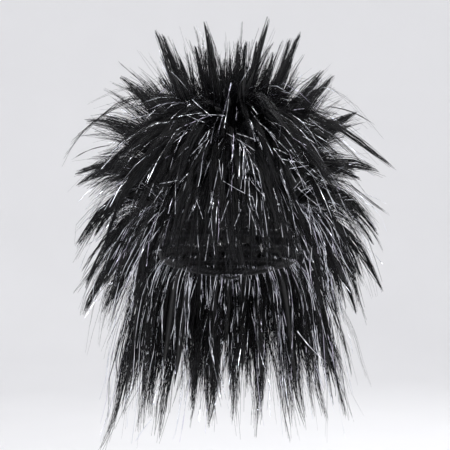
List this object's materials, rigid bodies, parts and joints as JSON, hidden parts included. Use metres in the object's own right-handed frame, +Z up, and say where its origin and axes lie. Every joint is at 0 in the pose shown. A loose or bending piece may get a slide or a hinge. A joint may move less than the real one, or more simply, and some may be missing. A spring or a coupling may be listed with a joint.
{
  "type": "mullet wig",
  "caption": "Black spiky mullet wig: net cap with sewn rows of hair, a fan of spikes over the crown and sides, a wispy fringe and long hair at the nape.",
  "frame": {"origin": "inside of the cap's crown, where it sits on the top of the head", "axes": "+Z up through the crown, the wearer faces -Y, +X to the wearer's left"},
  "size_m": [0.3261, 0.2731, 0.4645],
  "materials": {
    "hair": "synthetic hair fibre, satin",
    "net": "elastic net, matte",
    "tinsel": "metallised film strands, bright"
  },
  "bodies": {
    "root": {"wig_cap": "net", "crown_tuft": "hair", "crown_weft": "hair", "layer_1_weft": "hair", "layer_2_weft": "hair", "layer_3_weft": "hair", "layer_4_weft": "hair", "layer_5_weft": "hair", "layer_6_weft": "hair", "front_upper_weft": "hair", "front_lower_weft": "hair", "temple_left": "hair", "temple_right": "hair", "fringe_weft": "hair", "fall_right": "hair", "fall_back": "hair", "fall_left": "hair", "inner_fall_right": "hair", "inner_fall_left": "hair", "nape_fall": "hair"}
  },
  "joints": []
}
